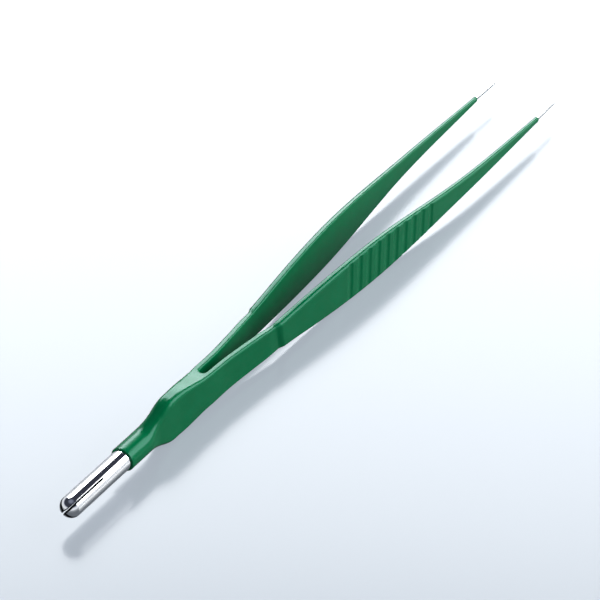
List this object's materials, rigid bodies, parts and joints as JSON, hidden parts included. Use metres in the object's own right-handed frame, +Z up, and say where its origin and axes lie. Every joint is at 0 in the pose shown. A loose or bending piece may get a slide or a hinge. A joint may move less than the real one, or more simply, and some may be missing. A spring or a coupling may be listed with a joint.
{
  "type": "monopolar diathermy forceps",
  "caption": "Insulated tweezer-type electrosurgery forceps with a round contact pin, a flat forked shank, sprung arms with finger grooves and bare fine tips.",
  "frame": {"origin": "under the middle of the forceps as they lie on one side, halfway between pin nose and tips, on the surface that they rest on", "axes": "+X from the contact pin to the working tips, +Y across the opening towards the left arm, +Z up, along the height of the blades"},
  "size_m": [0.1659, 0.0162, 0.0093],
  "materials": {
    "plated_pin": "polished plating",
    "blade_steel": "fine satin",
    "green_coat": "smooth moulded-on coat, soft gloss"
  },
  "bodies": {
    "shank": {"contact_pin": "plated_pin", "blade_roots": "blade_steel", "shank_coat": "green_coat"},
    "left_arm": {"left_blade": "blade_steel", "left_coat": "green_coat"},
    "right_arm": {"right_blade": "blade_steel", "right_coat": "green_coat"}
  },
  "joints": [
    {"name": "left_squeeze", "type": "hinge", "parent": "shank", "child": "left_arm", "pos_m": [-0.036, 0.00158, 0.00465], "axis": [0, 0, -1], "range_deg": [0, 3.45], "stiffness_Nm_per_rad": 2},
    {"name": "right_squeeze", "type": "hinge", "parent": "shank", "child": "right_arm", "pos_m": [-0.036, -0.00158, 0.00465], "axis": [0, 0, 1], "range_deg": [0, 3.45], "stiffness_Nm_per_rad": 2}
  ]
}
